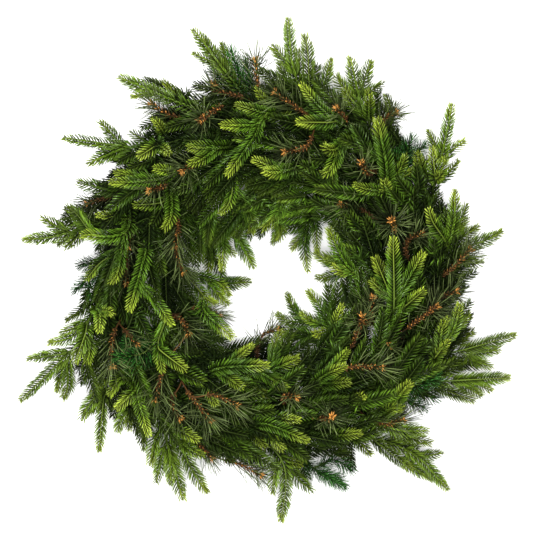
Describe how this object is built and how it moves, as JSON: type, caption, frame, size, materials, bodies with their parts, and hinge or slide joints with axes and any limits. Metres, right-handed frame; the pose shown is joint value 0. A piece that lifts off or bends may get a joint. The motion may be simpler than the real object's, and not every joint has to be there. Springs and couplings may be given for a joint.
{
  "type": "pine wreath",
  "caption": "Artificial pine wreath: bunches of moulded spruce and fir tips and long-needle pine twigs, all swept one way round a green wire ring",
  "frame": {"origin": "under the middle of the wreath's outline, on the plane that the wire ring lies on", "axes": "+Z out of the wreath's front, +Y towards the top of the wreath as pictured, +X to its right"},
  "size_m": [0.6032, 0.6114, 0.1241],
  "materials": {
    "green_wire": "dark green painted wire",
    "spruce_green": "moulded, mid green with yellow-green tips",
    "fir_blue_green": "cut film, dark blue-green",
    "pine_grey_green": "long drawn needles, grey-green, with brown buds"
  },
  "bodies": {
    "root": {"fir_bunch_01": "fir_blue_green", "fir_bunch_02": "fir_blue_green", "fir_bunch_03": "fir_blue_green", "fir_bunch_04": "fir_blue_green", "fir_bunch_05": "fir_blue_green", "fir_bunch_06": "fir_blue_green", "pine_bunch_01": "pine_grey_green", "pine_bunch_02": "pine_grey_green", "pine_bunch_03": "pine_grey_green", "pine_bunch_04": "pine_grey_green", "pine_bunch_05": "pine_grey_green", "pine_bunch_06": "pine_grey_green", "pine_bunch_07": "pine_grey_green", "pine_bunch_08": "pine_grey_green", "pine_bunch_09": "pine_grey_green", "pine_bunch_10": "pine_grey_green", "pine_bunch_11": "pine_grey_green", "pine_bunch_12": "pine_grey_green", "pine_bunch_13": "pine_grey_green", "pine_bunch_14": "pine_grey_green", "pine_bunch_15": "pine_grey_green", "pine_bunch_16": "pine_grey_green", "ring_frame": "green_wire", "spruce_bunch_01": "spruce_green", "spruce_bunch_02": "spruce_green", "spruce_bunch_03": "spruce_green", "spruce_bunch_04": "spruce_green", "spruce_bunch_05": "spruce_green", "spruce_bunch_06": "spruce_green", "spruce_bunch_07": "spruce_green", "spruce_bunch_08": "spruce_green", "spruce_bunch_09": "spruce_green", "spruce_bunch_10": "spruce_green", "spruce_bunch_11": "spruce_green", "spruce_bunch_12": "spruce_green", "spruce_bunch_13": "spruce_green", "spruce_bunch_14": "spruce_green", "spruce_bunch_15": "spruce_green", "spruce_bunch_16": "spruce_green", "spruce_bunch_17": "spruce_green", "spruce_bunch_18": "spruce_green", "spruce_bunch_19": "spruce_green", "spruce_bunch_20": "spruce_green", "spruce_bunch_21": "spruce_green", "spruce_bunch_22": "spruce_green", "spruce_bunch_23": "spruce_green", "spruce_bunch_24": "spruce_green", "spruce_bunch_25": "spruce_green", "spruce_bunch_26": "spruce_green", "spruce_bunch_27": "spruce_green", "spruce_bunch_28": "spruce_green", "spruce_bunch_29": "spruce_green", "spruce_bunch_30": "spruce_green", "spruce_bunch_31": "spruce_green", "spruce_bunch_32": "spruce_green", "spruce_bunch_33": "spruce_green", "spruce_bunch_34": "spruce_green", "spruce_bunch_35": "spruce_green", "spruce_bunch_36": "spruce_green"}
  },
  "joints": []
}
